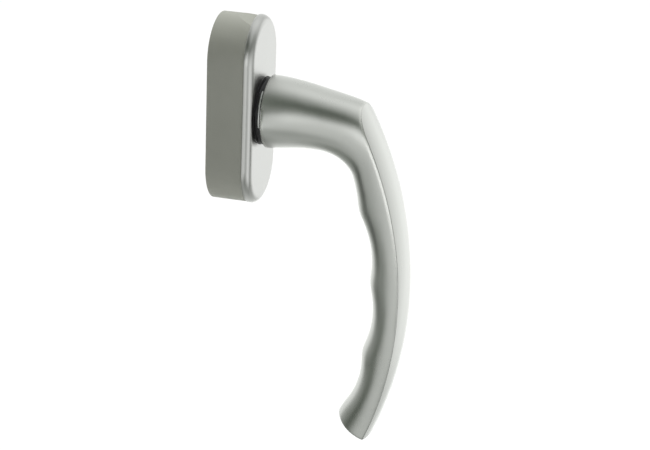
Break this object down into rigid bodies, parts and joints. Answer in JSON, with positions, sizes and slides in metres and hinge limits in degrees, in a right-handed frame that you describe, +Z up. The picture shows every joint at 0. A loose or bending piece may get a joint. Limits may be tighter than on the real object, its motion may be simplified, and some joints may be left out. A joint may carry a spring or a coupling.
{
  "type": "window handle",
  "caption": "Locking window handle: curved finger grip on a pill-shaped rosette with a swivelling cover, a quarter-turn detent and a self-acting lock on its spindle socket.",
  "frame": {"origin": "on the turning axis, in the mounting face that rests on the sash", "axes": "+Y into the sash along the turning axis, -Y out into the room, +Z up with the grip hanging down along -Z, +X to the right as seen from the room"},
  "size_m": [0.0306, 0.0765, 0.1569],
  "materials": {
    "lever_metal": "satin anodised, fine bead-blasted",
    "cover_metal": "satin anodised",
    "housing_grey": "matte warm grey",
    "black_plastic": "smooth black",
    "bright_steel": "turned",
    "spring_steel": "plain spring steel",
    "carrier_zinc": "bare zinc casting",
    "brass_bolt": "plain brass"
  },
  "bodies": {
    "rosette": {"rosette_housing": "housing_grey", "back_plate": "carrier_zinc", "rear_screws": "spring_steel", "screw_sleeves": "bright_steel", "collar_bearing": "black_plastic", "cover_ring": "spring_steel", "slide_washer": "bright_steel", "thrust_washer": "bright_steel", "lock_ring": "bright_steel", "upper_detent_spring": "spring_steel", "lower_detent_spring": "spring_steel"},
    "cover": {"cover_plate": "cover_metal"},
    "handle": {"lever": "lever_metal", "drive_shank": "bright_steel", "grub_screw": "spring_steel", "detent_cam": "bright_steel", "lock_cam": "bright_steel", "retaining_ring": "spring_steel"},
    "spindle_carrier": {"lock_carrier": "carrier_zinc", "spindle_clip": "spring_steel", "upper_lock_spring": "spring_steel", "lower_lock_spring": "spring_steel"},
    "right_bolt": {"right_lock_bolt": "brass_bolt"},
    "left_bolt": {"left_lock_bolt": "brass_bolt"}
  },
  "joints": [
    {"name": "lever_turn", "type": "hinge", "parent": "rosette", "child": "handle", "pos_m": [0, -0.015, 0], "axis": [0, -1, 0], "range_deg": [-180, 180], "deforming": ["upper_detent_spring", "lower_detent_spring"]},
    {"name": "cover_turn", "type": "hinge", "parent": "rosette", "child": "cover", "pos_m": [0, -0.0155, 0], "axis": [0, -1, 0], "range_deg": [-90, 90]},
    {"name": "lock_twist", "type": "hinge", "parent": "handle", "child": "spindle_carrier", "pos_m": [0, -0.008, 0], "axis": [0, -1, 0], "range_deg": [0, 12], "stiffness_Nm_per_rad": 0.05, "deforming": ["upper_lock_spring", "lower_lock_spring"]},
    {"name": "right_bolt_slide", "type": "slide", "parent": "spindle_carrier", "child": "right_bolt", "axis": [1, 0, 0], "range_m": [0, 0.0012]},
    {"name": "left_bolt_slide", "type": "slide", "parent": "spindle_carrier", "child": "left_bolt", "axis": [-1, 0, 0], "range_m": [0, 0.0012]}
  ],
  "couplings": [
    {"joint": "lock_twist", "follows": "right_bolt_slide", "rad_per_m": 174.5},
    {"joint": "left_bolt_slide", "follows": "right_bolt_slide", "ratio": 1}
  ]
}
